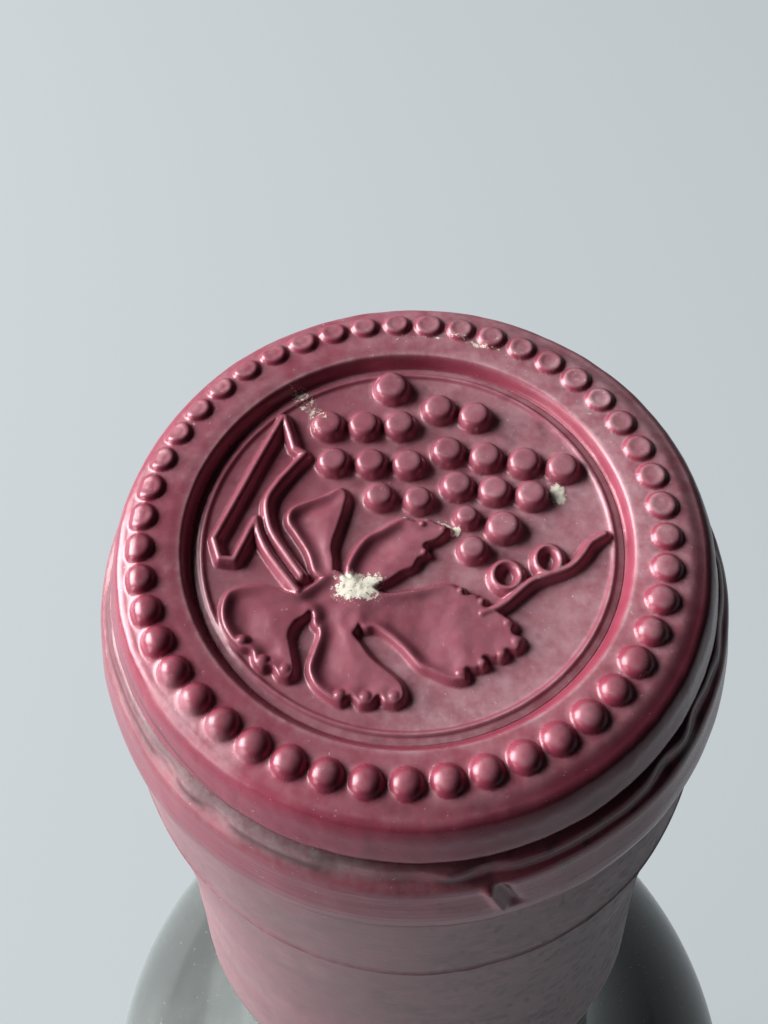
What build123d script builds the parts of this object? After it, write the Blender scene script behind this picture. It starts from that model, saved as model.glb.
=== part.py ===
from build123d import *
import math
import os

os.makedirs("parts", exist_ok=True)

# A full 75 cl wine bottle. Origin at the centre of the foot, +Z up, millimetres.
# The stamped top reads upright with +Y up: the vine's cane at the left, its grapes at the upper right.

# ---- driving dimensions of the bottle ----
RIM_Z = 312.0  # top face of the capsule's rim
BODY_R = 38.0
SHOULDER_DROP = 134.0  # from the rim down to the full body width
SHOULDER_H = 46.0
NECK_R = 15.7  # glass at the foot of the neck
WALL = 2.7
FOOT_R = 33.5
FOOT_LAND = 2.5
HEEL_R = 4.5
BASE_T = 4.0
PUNT_H = 20.0
BORE_R = 9.3
MOUTH_R = 11.1
MOUTH_BEVEL_DROP = 3.2
FILL_DROP = 63.0  # wine level below the rim

# ---- capsule: each station is a radius and its drop below the rim ----
FOIL = 0.3
TOP_FOIL = 0.35
CLEARANCE = 0.05
RIM_EDGE = (13.2, 0.0)
RIM_SHOULDER = (13.78, 0.9)
BAND_FOOT = (14.1, 2.4)
GROOVE = (14.0, 2.85)
CREASE = (14.6, 3.6)
COLLAR_TOP = (15.05, 5.1)
COLLAR = (15.3, 6.9)
COLLAR_FOOT = (14.95, 8.3)
NECK_LINE = (15.25, 15.8)
LINE_STEP = 0.12
WAIST = (14.85, 28.5)
HEM = (15.75, 46.8)

# ---- stamped top: positions are measured from the bottle's axis ----
RECESS_AT = (-0.26, 0.0)
RECESS_R = 10.25
RECESS_DEPTH = 0.67
RECESS_WALL_RUN = 0.35
FLOOR_RIDGE_R = 9.42
FLOOR_RIDGE_T = 0.14

BEAD_COUNT = 46
BEAD_RING_AT = (-0.53, 0.24)
BEAD_RING_R = 12.0
BEAD_R = 0.72
BEAD_H = 0.5
FIRST_BEAD_DEG = 91.0

GRAPE_R = 0.87
GRAPE_H = 0.62
# Each row of grapes: first centre, count, step to the next, size factor.
GRAPE_ROWS = [
    ((-0.98, 8.52), 1, (0.0, 0.0), 1.1),
    ((-4.08, 6.32), 3, (1.75, 0.0), 1.0),
    ((1.32, 7.24), 2, (1.75, -0.45), 1.0),
    ((-3.78, 4.23), 3, (1.8, -0.07), 0.98),
    ((1.72, 4.79), 4, (1.8, -0.36), 1.0),
    ((-1.53, 2.29), 2, (1.8, -0.2), 0.9),
    ((2.12, 2.85), 3, (1.72, -0.3), 0.98),
    ((2.52, 1.12), 1, (0.0, 0.0), 0.75),
    ((4.17, 0.56), 1, (0.0, 0.0), 1.05),
    ((2.72, -0.61), 1, (0.0, 0.0), 0.87),
]

RELIEF_H = 0.42  # leaf, cane and tendril above the recess floor
LEAF_DISH = 0.17  # how far the leaf sinks inside its rolled edge
LEAF_EDGE = 0.3
# Each lobe: spine circles (x, y, radius) from the leaf's heart outwards, then its teeth:
# centre, radius and the first and last angle of their arc, their count and their own radius.
LEAF_LOBES = [
    ([(-4.1, -1.7, 0.6), (-4.6, 0.3, 1.0), (-3.9, 1.85, 0.78)], (-4.4, 1.1, 0.75, 170, 100, 2, 0.75)),
    ([(-2.7, -1.9, 0.6), (-1.1, -0.6, 1.05), (1.0, 0.3, 0.65)], (-0.2, -0.3, 0.95, 250, 360, 3, 0.55)),
    ([(-2.3, -3.5, 0.9), (0.6, -4.3, 1.65), (2.5, -4.8, 1.5)], (2.2, -4.8, 1.6, 110, -120, 7, 0.72)),
    ([(-3.4, -3.9, 0.85), (-3.3, -5.9, 1.15), (-2.2, -6.6, 1.05)], (-2.2, -6.3, 1.4, 200, 318, 3, 0.72)),
    ([(-5.0, -3.3, 0.6), (-6.3, -3.8, 1.35), (-7.3, -3.5, 1.15)], (-6.5, -4.5, 1.55, 172, 296, 4, 0.66)),
]

STROKE_R = 0.21
CANE = [(-6.25, 6.7), (-9.1, 0.0), (-8.7, -1.1), (-7.25, 1.0)]
CANE_NOTCH = [(-6.15, 6.7), (-5.85, 5.9), (-5.6, 4.9), (-5.15, 4.65)]
STALK_LEFT = [(-7.25, 1.0), (-6.6, -0.9), (-5.15, -2.7)]
STALK_RIGHT = [(-5.15, 4.65), (-6.8, 1.9), (-5.0, -1.95)]
TENDRIL = [(3.1, -3.6), (4.6, -3.0), (5.4, -2.45), (7.0, -1.8), (7.7, -1.0), (8.7, 0.0)]
TENDRIL_LOOPS = [(4.15, -1.9, 0.62), (6.1, -1.15, 0.58)]


def at(station, inset=0.0, lower=0.0):
    """A capsule station as a point of the lathe profile, moved inwards by inset and down by lower."""
    return (station[0] - inset, RIM_Z - station[1] - lower)


def finish_edges(inset, lower):
    """The capsule's lathe profile from the rim's edge down to the hem."""
    upper_line = at(NECK_LINE, inset)
    lower_line = (upper_line[0] - LINE_STEP, upper_line[1] - LINE_STEP)
    return [
        Spline(at(RIM_EDGE, inset, lower), at(RIM_SHOULDER, inset, lower), at(BAND_FOOT, inset)),
        Line(at(BAND_FOOT, inset), at(GROOVE, inset)),
        Line(at(GROOVE, inset), at(CREASE, inset)),
        Spline(at(CREASE, inset), at(COLLAR_TOP, inset), at(COLLAR, inset), at(COLLAR_FOOT, inset)),
        Line(at(COLLAR_FOOT, inset), upper_line),
        Line(upper_line, lower_line),
        Spline(lower_line, at(WAIST, inset), at(HEM, inset)),
    ]


def lathe(edges):
    """A profile drawn as (radius, height), turned about the bottle's axis."""
    return revolve(Plane.XZ * make_face(edges), Axis.Z)


def shoulder_edges(top_r, body_r, drop, height):
    """The S of the shoulder: two equal arcs between the neck and the body, from the top down."""
    turn = 2 * math.atan((body_r - top_r) / height)
    radius = height / math.sin(turn) / 2
    low = RIM_Z - drop
    middle = ((top_r + body_r) / 2, low + height / 2)
    half = turn / 2
    upper_mid = (top_r + radius * (1 - math.cos(half)), low + height - radius * math.sin(half))
    lower_mid = (body_r - radius * (1 - math.cos(half)), low + radius * math.sin(half))
    return [
        ThreePointArc((top_r, low + height), upper_mid, middle),
        ThreePointArc(middle, lower_mid, (body_r, low)),
    ]


def at_angle(x, y, radius, degrees):
    """The point on a circle round (x, y), at an angle from +X."""
    turn = math.radians(degrees)
    return (x + radius * math.cos(turn), y + radius * math.sin(turn))


def dome_arc(radius, z, height):
    """The lathe arc of a spherical dome, from its foot circle up to the axis."""
    ball = (radius**2 + height**2) / (2 * height)
    half = math.asin(radius / ball) / 2
    middle = (ball * math.sin(half), z + height - ball + ball * math.cos(half))
    return ThreePointArc((radius, z), middle, (0, z + height))


def glass_shape():
    inset = FOIL + CLEARANCE
    lip_z = RIM_Z - TOP_FOIL
    neck_foot_z = RIM_Z - SHOULDER_DROP + SHOULDER_H
    outer = finish_edges(inset, TOP_FOIL)
    hem = at(HEM, inset)
    outer.append(Line(hem, (NECK_R, neck_foot_z)))
    outer += shoulder_edges(NECK_R, BODY_R, SHOULDER_DROP, SHOULDER_H)
    outer.append(Line((BODY_R, RIM_Z - SHOULDER_DROP), (BODY_R, HEEL_R)))
    heel_mid = (BODY_R - 0.29 * (BODY_R - FOOT_R), HEEL_R * 0.29)
    outer.append(ThreePointArc((BODY_R, HEEL_R), heel_mid, (FOOT_R, 0)))
    outer.append(Line((FOOT_R, 0), (FOOT_R - FOOT_LAND, 0)))
    outer.append(dome_arc(FOOT_R - FOOT_LAND, 0, PUNT_H))
    lip = Line((RIM_EDGE[0] - inset, lip_z), (MOUTH_R, lip_z))
    bevel = Line((MOUTH_R, lip_z), (BORE_R, RIM_Z - MOUTH_BEVEL_DROP))
    inner = inner_edges()
    axis = Line((0, PUNT_H), (0, PUNT_H + BASE_T))
    return lathe(outer + [lip, bevel] + inner + [axis])


def inner_edges(gap=0.0, top_z=None):
    """The bottle's inner wall from the bore down to the axis above the punt."""
    top_z = RIM_Z - MOUTH_BEVEL_DROP if top_z is None else top_z
    neck_foot_z = RIM_Z - SHOULDER_DROP + SHOULDER_H
    body_r = BODY_R - WALL - gap
    neck_r = NECK_R - WALL - gap
    bore_r = BORE_R - gap
    dome_r = BODY_R - WALL - HEEL_R
    heel_z = BASE_T + HEEL_R
    heel_mid = at_angle(dome_r, heel_z, HEEL_R - gap, -45)
    start_r = bore_r + (neck_r - bore_r) * (RIM_Z - MOUTH_BEVEL_DROP - top_z) / (
        RIM_Z - MOUTH_BEVEL_DROP - neck_foot_z
    )
    edges = [Line((start_r, top_z), (neck_r, neck_foot_z))]
    edges += shoulder_edges(neck_r, body_r, SHOULDER_DROP, SHOULDER_H)
    edges.append(Line((body_r, RIM_Z - SHOULDER_DROP), (body_r, heel_z)))
    edges.append(ThreePointArc((body_r, heel_z), heel_mid, (dome_r, BASE_T + gap)))
    edges.append(dome_arc(dome_r, BASE_T + gap, PUNT_H))
    return edges


def wine_shape():
    level = RIM_Z - FILL_DROP
    edges = inner_edges(CLEARANCE, level)
    start = edges[0] @ 0
    end = edges[-1] @ 1
    return lathe(edges + [Line((0, end.Y), (0, level)), Line((0, level), (start.X, level))])


def dome(radius, height, top_share):
    """A low round boss with its foot a little under z = 0; top_share is the flat part of its top."""
    flat = radius * top_share
    foot = TOP_FOIL / 3
    side = (radius * 0.93, height * 0.62)
    edges = [
        Line((0, -foot), (radius, -foot)),
        Line((radius, -foot), (radius, 0)),
        Spline((radius, 0), side, (flat, height), tangents=[(0, 1), (-1, 0)]),
        Line((flat, height), (0, height)),
        Line((0, height), (0, -foot)),
    ]
    return lathe(edges)


def stroke(points):
    """A flat line of round pens from point to point."""
    shape = Sketch()
    for (x0, y0), (x1, y1) in zip(points, points[1:]):
        length = math.hypot(x1 - x0, y1 - y0)
        angle = math.degrees(math.atan2(y1 - y0, x1 - x0))
        slot = SlotCenterToCenter(length, 2 * STROKE_R, rotation=angle)
        shape += Pos((x0 + x1) / 2, (y0 + y1) / 2) * slot
    return shape


def bend(points, steps=6):
    """Points along the smooth curve through three points."""
    curve = Spline(*points)
    return [((curve @ (i / steps)).X, (curve @ (i / steps)).Y) for i in range(steps + 1)]


def lobe(spine, teeth, shrink=0.0):
    """One leaf lobe: a tapering body round its spine and round teeth along its end."""
    shape = Sketch()
    for (x0, y0, r0), (x1, y1, r1) in zip(spine, spine[1:]):
        shape += hull_of(x0, y0, r0 - shrink, x1, y1, r1 - shrink)
    cx, cy, arc_r, first, last, count, tooth_r = teeth
    for i in range(count):
        a = math.radians(first + (last - first) * i / (count - 1))
        shape += Pos(cx + arc_r * math.cos(a), cy + arc_r * math.sin(a)) * Circle(tooth_r - shrink)
    return shape


def hull_of(x0, y0, r0, x1, y1, r1):
    """Two circles and the strip between their outer tangents."""
    length = math.hypot(x1 - x0, y1 - y0)
    along = math.atan2(y1 - y0, x1 - x0)
    lean = math.acos((r0 - r1) / length)
    corners = []
    for side in (1, -1):
        a = along + side * lean
        pair = [(x0 + r0 * math.cos(a), y0 + r0 * math.sin(a)), (x1 + r1 * math.cos(a), y1 + r1 * math.sin(a))]
        corners += pair if side == 1 else pair[::-1]
    strip = make_face(Polyline(*corners, close=True))
    return Pos(x0, y0) * Circle(r0) + Pos(x1, y1) * Circle(r1) + strip


def leaf(shrink=0.0):
    shape = Sketch()
    for spine, teeth in LEAF_LOBES:
        shape += lobe(spine, teeth, shrink)
    return shape


def relief():
    """Leaf, cane, stalk and tendril, as one raised piece with its foot at z = 0."""
    foot = TOP_FOIL / 3
    raised = extrude(leaf(), RELIEF_H + foot)
    raised -= Pos(0, 0, RELIEF_H + foot - LEAF_DISH) * extrude(leaf(LEAF_EDGE), 1.0)
    lines = stroke(CANE)
    lines += stroke(CANE_NOTCH)
    lines += stroke(bend(STALK_LEFT))
    lines += stroke(bend(STALK_RIGHT))
    lines += stroke(TENDRIL)
    for x, y, r in TENDRIL_LOOPS:
        lines += Pos(x, y) * (Circle(r + STROKE_R) - Circle(r - STROKE_R))
    raised += extrude(lines, RELIEF_H + foot)
    return Pos(0, 0, -foot) * raised


def capsule_shape():
    floor_z = RIM_Z - RECESS_DEPTH
    outer = finish_edges(0.0, 0.0)
    inner = finish_edges(FOIL, TOP_FOIL)
    top = [Line((0, RIM_Z), at(RIM_EDGE))]
    hem = [Line(at(HEM), at(HEM, FOIL))]
    under = [Line(at(RIM_EDGE, FOIL, TOP_FOIL), (0, RIM_Z - TOP_FOIL)), Line((0, RIM_Z - TOP_FOIL), (0, RIM_Z))]
    shell = lathe(top + outer + hem + inner + under)

    # The sunken round field: its underside is added first, then the field is cut.
    here = Pos(*RECESS_AT, 0)
    plug_r = RECESS_R + FOIL
    depth = RECESS_DEPTH
    plug = Pos(0, 0, RIM_Z - (depth + TOP_FOIL) / 2) * Cone(plug_r - RECESS_WALL_RUN, plug_r, depth + TOP_FOIL)
    shell += here * plug
    field = Pos(0, 0, floor_z + depth / 2) * Cone(RECESS_R - RECESS_WALL_RUN, RECESS_R, depth)
    shell -= here * field
    shell += here * Pos(0, 0, floor_z) * Torus(FLOOR_RIDGE_R, FLOOR_RIDGE_T)

    bead = dome(BEAD_R, BEAD_H, 0.3)
    for i in range(BEAD_COUNT):
        a = math.radians(FIRST_BEAD_DEG + 360 * i / BEAD_COUNT)
        x = BEAD_RING_AT[0] + BEAD_RING_R * math.cos(a)
        y = BEAD_RING_AT[1] + BEAD_RING_R * math.sin(a)
        shell += Pos(x, y, RIM_Z) * bead

    for (x, y), count, (dx, dy), size in GRAPE_ROWS:
        grape = dome(GRAPE_R * size, GRAPE_H, 0.45)
        for i in range(count):
            shell += Pos(x + i * dx, y + i * dy, floor_z) * grape
    shell += Pos(0, 0, floor_z) * relief()
    return shell


def main():
    glass = glass_shape()
    wine = wine_shape()
    capsule = capsule_shape()
    for name, shape in (("glass", glass), ("wine", wine), ("capsule", capsule)):
        export_step(shape, f"parts/{name}.step")
        print(name, len(shape.solids()), "solid", round(shape.volume / 1000, 1), "cm3", shape.is_valid)


main()
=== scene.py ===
import math

import bpy
import numpy as np
from mathutils import Matrix, Vector


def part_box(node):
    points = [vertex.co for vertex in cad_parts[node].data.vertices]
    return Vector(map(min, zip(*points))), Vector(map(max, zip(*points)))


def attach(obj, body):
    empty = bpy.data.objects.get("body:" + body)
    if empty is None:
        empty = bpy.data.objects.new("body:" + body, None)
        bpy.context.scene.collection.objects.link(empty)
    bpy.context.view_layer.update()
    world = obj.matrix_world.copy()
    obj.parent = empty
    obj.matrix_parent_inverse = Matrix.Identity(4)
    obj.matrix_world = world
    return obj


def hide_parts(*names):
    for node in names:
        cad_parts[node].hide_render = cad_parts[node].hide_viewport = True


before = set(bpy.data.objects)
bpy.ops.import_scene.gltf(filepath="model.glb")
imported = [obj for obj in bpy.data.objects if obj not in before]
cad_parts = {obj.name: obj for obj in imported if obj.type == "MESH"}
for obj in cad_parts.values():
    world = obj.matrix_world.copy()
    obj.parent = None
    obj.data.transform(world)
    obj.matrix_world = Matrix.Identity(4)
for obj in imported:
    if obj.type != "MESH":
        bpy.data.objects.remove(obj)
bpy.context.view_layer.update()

MM = 0.001
BEAD_TOP = 0.5  # the beads' tops above the rim, mm
RIM_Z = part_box("capsule")[1][2] - BEAD_TOP * MM
FOOT_DROP = -RIM_Z / MM  # the foot's height below the rim, mm

# All shapes below are in millimetres, with z = 0 on the rim and the bottle's axis at x = y = 0.

RECESS_AT = (-0.26, 0.0)
RECESS_R = 10.25
FLOOR = -0.6
FLOOR_DISH = 0.28
FLOOR_R = 9.9
RIDGE_R = 9.42
BEAD_RING_AT = (-0.53, 0.24)
BEAD_RING_R = 12.0
BEAD_COUNT = 46
BEAD_R = 0.74

# Outlines as (radius, z): the band under the rim, and the skirt from the groove down to the hem.
BAND = [
    (13.2, 0.0), (13.5, -0.2), (13.74, -0.75), (13.92, -1.5), (14.1, -2.3), (14.02, -2.62), (13.75, -2.85),
]
SKIRT = [
    (13.75, -2.85), (14.2, -3.0), (14.42, -3.35), (14.5, -3.7), (14.88, -4.1), (15.05, -5.0), (15.28, -6.3),
    (15.3, -7.2), (15.12, -7.95), (14.93, -8.5), (15.0, -10.0), (15.2, -15.4), (15.32, -15.7),
    (15.08, -15.95), (15.0, -19.0), (14.85, -28.5), (15.2, -38.0), (15.75, -46.8),
]


def srgb(r, g, b):
    """A colour given as it shows on a screen, 0 to 255, as the linear colour a shader takes."""
    return tuple(((c / 255 + 0.055) / 1.055) ** 2.4 if c > 10 else c / 3294 for c in (r, g, b)) + (1.0,)


def step(low, high, value):
    """0 at low, 1 at high and smooth between; low may be the greater."""
    t = np.clip((value - low) / (high - low), 0.0, 1.0)
    return t * t * (3 - 2 * t)


def bell(value, centre, width):
    """1 at the centre, falling off smoothly on both sides."""
    return np.exp(-(((value - centre) / width) ** 2))


def grain(x, y, size, seed, wrap=None):
    """Smooth random field from -1 to 1 with features of the given size; wrap is the period in x, in cells."""
    rng = np.random.default_rng(seed)
    table = rng.uniform(-1, 1, (64, 64))
    u, v = np.asarray(x) / size, np.asarray(y) / size
    iu, iv = np.floor(u).astype(int), np.floor(v).astype(int)
    fu, fv = u - iu, v - iv
    fu, fv = fu * fu * (3 - 2 * fu), fv * fv * (3 - 2 * fv)
    period = wrap or 64
    a, b = (iu % period) % 64, ((iu + 1) % period) % 64
    c, d = iv % 64, (iv + 1) % 64
    top = table[a, c] * (1 - fu) + table[b, c] * fu
    low = table[a, d] * (1 - fu) + table[b, d] * fu
    return top * (1 - fv) + low * fv


def ring_grain(theta, z, cells, seed):
    """Smooth field on the capsule's side with this many cells all the way round, so that it has no seam."""
    return grain(theta * cells / (2 * math.pi), z, 1.0, seed, wrap=cells)


def ring_clouds(theta, z, size, seed, octaves=3):
    """Clouds on the capsule's side, which meet themselves all the way round."""
    total, weight = 0.0, 0.0
    for i in range(octaves):
        cells = max(3, int(round(2 * math.pi * 15.0 / size * 2**i)))
        total = total + ring_grain(theta, z * 2**i / size + 17 * i, cells, seed + i) * 0.5**i
        weight += 0.5**i
    return total / weight


def clouds(x, y, size, seed, octaves=3):
    """Cloudy field from -1 to 1 over the top."""
    total, weight = 0.0, 0.0
    for i in range(octaves):
        total = total + grain(x + 7.3 * i, y - 3.1 * i, size / 2**i, seed + i) * 0.5**i
        weight += 0.5**i
    return total / weight


def smooth_curve(points, closed=False, steps=6):
    """Points of the smooth curve through the given ones."""
    pts = np.array(points, float)
    count = len(pts)
    out = []
    for i in range(count if closed else count - 1):
        if closed:
            p = [pts[(i + k) % count] for k in (-1, 0, 1, 2)]
        else:
            p = [pts[min(max(i + k, 0), count - 1)] for k in (-1, 0, 1, 2)]
        for j in range(steps):
            t = j / steps
            out.append(
                0.5
                * (
                    2 * p[1]
                    + (p[2] - p[0]) * t
                    + (2 * p[0] - 5 * p[1] + 4 * p[2] - p[3]) * t**2
                    + (3 * p[1] - p[0] - 3 * p[2] + p[3]) * t**3
                )
            )
    if not closed:
        out.append(pts[-1])
    return np.array(out)


def line_distance(x, y, line, closed=False):
    """Distance from each point to a polyline."""
    best = np.full(np.shape(x), 1e9)
    ends = list(zip(line, line[1:]))
    if closed:
        ends.append((line[-1], line[0]))
    for (ax, ay), (bx, by) in ends:
        dx, dy = bx - ax, by - ay
        t = np.clip(((x - ax) * dx + (y - ay) * dy) / (dx * dx + dy * dy + 1e-12), 0, 1)
        best = np.minimum(best, (x - ax - t * dx) ** 2 + (y - ay - t * dy) ** 2)
    return np.sqrt(best)


def inside(x, y, outline):
    """True where a point lies inside a closed outline."""
    hit = np.zeros(np.shape(x), bool)
    for (ax, ay), (bx, by) in zip(outline, np.roll(outline, -1, axis=0)):
        crosses = (ay > y) != (by > y)
        at = ax + (y - ay) * (bx - ax) / (by - ay if by != ay else 1e-9)
        hit ^= crosses & (x < at)
    return hit


def signed(x, y, outline):
    """Distance to an outline, negative inside it."""
    d = line_distance(x, y, outline, closed=True)
    return np.where(inside(x, y, outline), -d, d)


# ---- the stamped vine: leaf lobes as outlines, grapes as rows, cane and tendril as lines ----
LEAF = [
    [(-3.6, -1.6), (-2.9, -2.0), (-1.6, -2.6), (-1.0, -3.6), (-1.5, -4.45), (-2.2, -4.3), (-2.7, -4.9),
     (-4.3, -4.6), (-4.55, -3.8), (-5.1, -3.95), (-5.3, -3.0), (-4.4, -2.2)],
    [(-3.6, -2.2), (-4.5, -1.9), (-4.9, -0.8), (-5.5, 0.2), (-5.9, 0.9), (-5.75, 1.6), (-5.1, 2.0),
     (-4.1, 2.4), (-3.4, 2.8), (-3.0, 2.4), (-3.1, 1.6), (-3.35, 0.6), (-3.6, -0.4), (-3.5, -1.3)],
    [(-2.7, -2.5), (-3.1, -1.7), (-2.8, -0.7), (-2.2, 0.15), (-1.5, 0.55), (-1.0, 0.9), (-0.4, 1.2),
     (0.15, 0.95), (0.7, 1.05), (1.2, 0.8), (1.75, 0.55), (1.55, 0.2), (1.1, -0.2), (0.6, -0.4),
     (0.8, -0.85), (0.3, -1.15), (0.05, -1.6), (-0.5, -1.85), (-1.1, -2.3), (-1.9, -2.6)],
    [(-2.2, -2.4), (-1.3, -2.75), (0.0, -2.6), (1.2, -2.35), (1.85, -2.4), (2.25, -2.85), (2.85, -2.9),
     (3.05, -3.4), (3.6, -3.65), (4.0, -3.95), (4.5, -4.4), (4.35, -4.8), (4.8, -5.15), (4.5, -5.75),
     (3.95, -5.75), (3.55, -6.1), (3.05, -6.05), (2.75, -6.6), (2.25, -6.6), (2.3, -7.1), (1.6, -7.15),
     (0.7, -6.75), (0.1, -6.4), (-0.5, -5.65), (-1.1, -5.05), (-1.7, -4.65), (-2.2, -4.65), (-2.9, -3.8)],
    [(-3.0, -3.2), (-2.6, -4.7), (-2.2, -5.3), (-1.7, -6.0), (-0.95, -6.65), (-0.45, -7.2), (-0.35, -7.85),
     (-0.75, -8.25), (-1.3, -8.15), (-1.5, -7.85), (-1.75, -8.2), (-2.3, -8.25), (-2.7, -7.85),
     (-3.1, -8.15), (-3.7, -7.85), (-4.3, -7.3), (-4.6, -6.5), (-4.4, -5.6), (-4.2, -4.8), (-4.45, -4.0),
     (-4.0, -3.2)],
    [(-3.9, -2.6), (-4.6, -3.9), (-5.1, -4.3), (-5.35, -4.9), (-5.2, -5.7), (-5.05, -6.6), (-5.3, -7.05),
     (-5.8, -6.95), (-6.1, -6.5), (-6.5, -6.6), (-6.9, -6.3), (-7.05, -5.75), (-7.55, -5.6), (-8.1, -5.0),
     (-8.5, -4.2), (-8.55, -3.4), (-8.3, -2.75), (-7.6, -2.45), (-6.6, -2.4), (-5.3, -2.8), (-4.6, -2.6)],
]
CANE = [(-6.3, 6.7), (-7.5, 3.9), (-9.1, -0.1), (-8.75, -1.15), (-8.1, -1.2), (-7.3, 0.9)]
CANE_END = [(-6.2, 6.7), (-5.95, 5.9), (-5.65, 4.95), (-5.15, 4.6)]
STALK_LEFT = [(-7.25, 1.0), (-7.05, 0.2), (-6.5, -0.9), (-5.15, -2.75)]
STALK_RIGHT = [(-5.15, 4.6), (-5.7, 3.9), (-6.4, 2.9), (-6.8, 2.0), (-6.7, 1.0), (-6.3, 0.0), (-5.0, -1.95)]
TENDRIL = [(3.0, -3.9), (3.9, -3.5), (4.6, -2.9), (5.3, -2.3), (6.1, -2.0), (7.0, -1.65), (7.6, -1.1),
           (8.1, -0.4), (8.75, 0.0)]
TENDRIL_LOOPS = [(4.2, -2.0, 0.62, 0.68), (6.1, -1.24, 0.56, 0.7)]
# Each row: its first grape, how many, the step from one to the next, their size.
GRAPE_ROWS = [
    ((-0.9, 8.3), 1, (0.0, 0.0), 1.1),
    ((-4.0, 6.15), 3, (1.75, 0.0), 1.0),
    ((1.4, 7.05), 2, (1.75, -0.45), 1.0),
    ((-3.7, 4.1), 3, (1.8, -0.07), 0.98),
    ((1.8, 4.65), 4, (1.8, -0.36), 1.0),
    ((-1.45, 2.2), 2, (1.8, -0.2), 0.9),
    ((2.2, 2.75), 3, (1.72, -0.3), 0.98),
    ((2.6, 1.05), 1, (0.0, 0.0), 0.75),
    ((4.25, 0.5), 1, (0.0, 0.0), 1.05),
    ((2.8, -0.65), 1, (0.0, 0.0), 0.87),
]
# Round tips of the leaf's teeth: x, y, radius.
KNOBS = [
    (-0.85, -7.8, 0.42), (-2.05, -7.85, 0.42), (-3.15, -7.75, 0.4), (-5.5, -6.55, 0.42), (-6.5, -6.15, 0.4),
    (-7.45, -5.2, 0.38), (2.0, -6.75, 0.4), (2.9, -6.3, 0.34), (3.75, -5.85, 0.36), (4.4, -5.3, 0.36),
    (4.1, -4.4, 0.34), (3.0, -3.3, 0.3), (2.1, -2.75, 0.28), (1.4, 0.45, 0.3), (0.45, 0.75, 0.26),
    (0.5, -0.75, 0.28),
]
GRAPE_R = 0.87
GRAPE_H = 0.62
DISH_DEPTH = 0.29
GRAPE_TRIM = 0.96
GRAPE_SHIFT = -0.08
RELIEF_H = 0.4
KNOB_H = 0.46
STROKE_H = 0.46
STROKE_R = 0.26

rng = np.random.default_rng(7)
GRAPES = []
for (gx, gy), count, (dx, dy), size in GRAPE_ROWS:
    lift = 0.05 + 0.02 * gy
    for i in range(count):
        turn = rng.uniform(0, 2 * math.pi)
        GRAPES.append((gx + i * dx + GRAPE_SHIFT, gy + i * dy + lift, GRAPE_R * size * GRAPE_TRIM, turn))
# Beads: place, radius, how much of a full dome each still is (0 for a flat button), depth of its dent.
BEADS = []
for i in range(BEAD_COUNT):
    a = math.radians(91 + 360 * i / BEAD_COUNT)
    near = float(step(0.25, -0.5, math.sin(a)))
    size = BEAD_R * (1 + rng.uniform(-0.04, 0.04))
    BEADS.append(
        (
            BEAD_RING_AT[0] + BEAD_RING_R * math.cos(a),
            BEAD_RING_AT[1] + BEAD_RING_R * math.sin(a),
            size,
            near,
            rng.uniform(0.75, 1.1),
        )
    )

LEAF_LINES = [smooth_curve(lobe, closed=True, steps=4) for lobe in LEAF]


def boss(x, y, cx, cy, r, height, flat):
    """A round boss: flat is the power of its side, greater for a flatter top."""
    u = np.hypot(x - cx, y - cy) / r
    body = np.clip(1 - u**flat, 0, 1) ** 0.6
    foot = 0.1 * step(1.35, 0.9, u)
    return height * np.maximum(body, foot)


def leaf_distance(x, y):
    """Distance to the outline of the whole leaf, negative inside it."""
    d = np.full(np.shape(x), 1e9)
    for lobe in LEAF_LINES:
        low, high = lobe.min(axis=0) - 1.0, lobe.max(axis=0) + 1.0
        close = (x > low[0]) & (x < high[0]) & (y > low[1]) & (y < high[1])
        d[close] = np.minimum(d[close], signed(x[close], y[close], lobe))
    return np.minimum(d, 1.0)


def vine_height(x, y):
    """Leaf, grapes, cane and tendril above the recess floor."""
    d = leaf_distance(x, y)
    west = np.clip(0.5 + (leaf_distance(x - 0.8, y) - leaf_distance(x + 0.8, y)) / 2.0, 0, 1)
    rise = step(0.14, -0.16, d)
    dish = step(-0.12, -0.7, d) * (0.06 + 0.94 * west)
    h = RELIEF_H * rise - DISH_DEPTH * blurred(dish, 0.16)
    strokes = np.full(np.shape(x), 1e9)
    for line in (CANE, CANE_END):
        strokes = np.minimum(strokes, line_distance(x, y, np.array(line)))
    for line in (STALK_LEFT, STALK_RIGHT, TENDRIL):
        strokes = np.minimum(strokes, line_distance(x, y, smooth_curve(line)))
    for cx, cy, rx, ry in TENDRIL_LOOPS:
        loop = [(cx + rx * math.cos(t), cy + ry * math.sin(t)) for t in np.linspace(0, 2 * math.pi, 25)]
        strokes = np.minimum(strokes, line_distance(x, y, np.array(loop)) + 0.03)
    stroke = STROKE_H * np.clip(1 - (strokes / (STROKE_R * 1.25)) ** 2, 0, 1) ** 0.8
    h = np.maximum(h, stroke)
    for cx, cy, r in KNOBS:
        h = np.maximum(h, boss(x, y, cx, cy, r, KNOB_H, 2.4))
    for cx, cy, r, turn in GRAPES:
        lump = boss(x, y, cx, cy, r, GRAPE_H, 5.5)
        tilt = 0.05 * ((x - cx) * math.cos(turn) + (y - cy) * math.sin(turn)) / r
        h = np.maximum(h, lump * (1 + tilt))
    return h


RASTER_SIDE = 2 * (RIDGE_R + 0.3)
RASTER_CELLS = 430
RASTER_STEP = RASTER_SIDE / (RASTER_CELLS - 1)


def upness(points, closed=False):
    """How far each point of a grid faces up, 0 to 1; closed if its first axis runs all the way round."""
    if closed:
        along = np.roll(points, -1, axis=0) - np.roll(points, 1, axis=0)
    else:
        along = np.gradient(points, axis=0)
    normal = np.cross(along, np.gradient(points, axis=1))
    return np.abs(normal[..., 2]) / (np.linalg.norm(normal, axis=-1) + 1e-9)


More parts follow.
